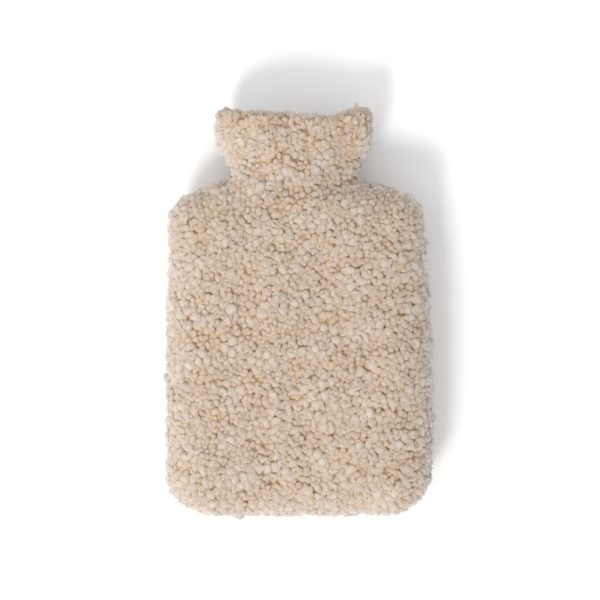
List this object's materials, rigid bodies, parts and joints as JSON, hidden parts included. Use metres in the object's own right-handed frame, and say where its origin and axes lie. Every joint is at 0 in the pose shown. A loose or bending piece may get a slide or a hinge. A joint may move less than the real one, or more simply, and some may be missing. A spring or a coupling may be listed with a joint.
{
  "type": "hot water bottle cover",
  "caption": "Plump bottle-shaped sheepskin cover, curly wool outside, hollow inside and open at the neck, for a two-litre hot water bottle.",
  "frame": {"origin": "under the middle of the cover, on the surface that its back lies on", "axes": "+Y towards the neck, +Z out of the front, +X to the right of someone looking down on the front"},
  "size_m": [0.2382, 0.3562, 0.066],
  "materials": {
    "sheepskin": "matte"
  },
  "bodies": {
    "root": {"front_panel": "sheepskin", "back_panel": "sheepskin"}
  },
  "joints": []
}
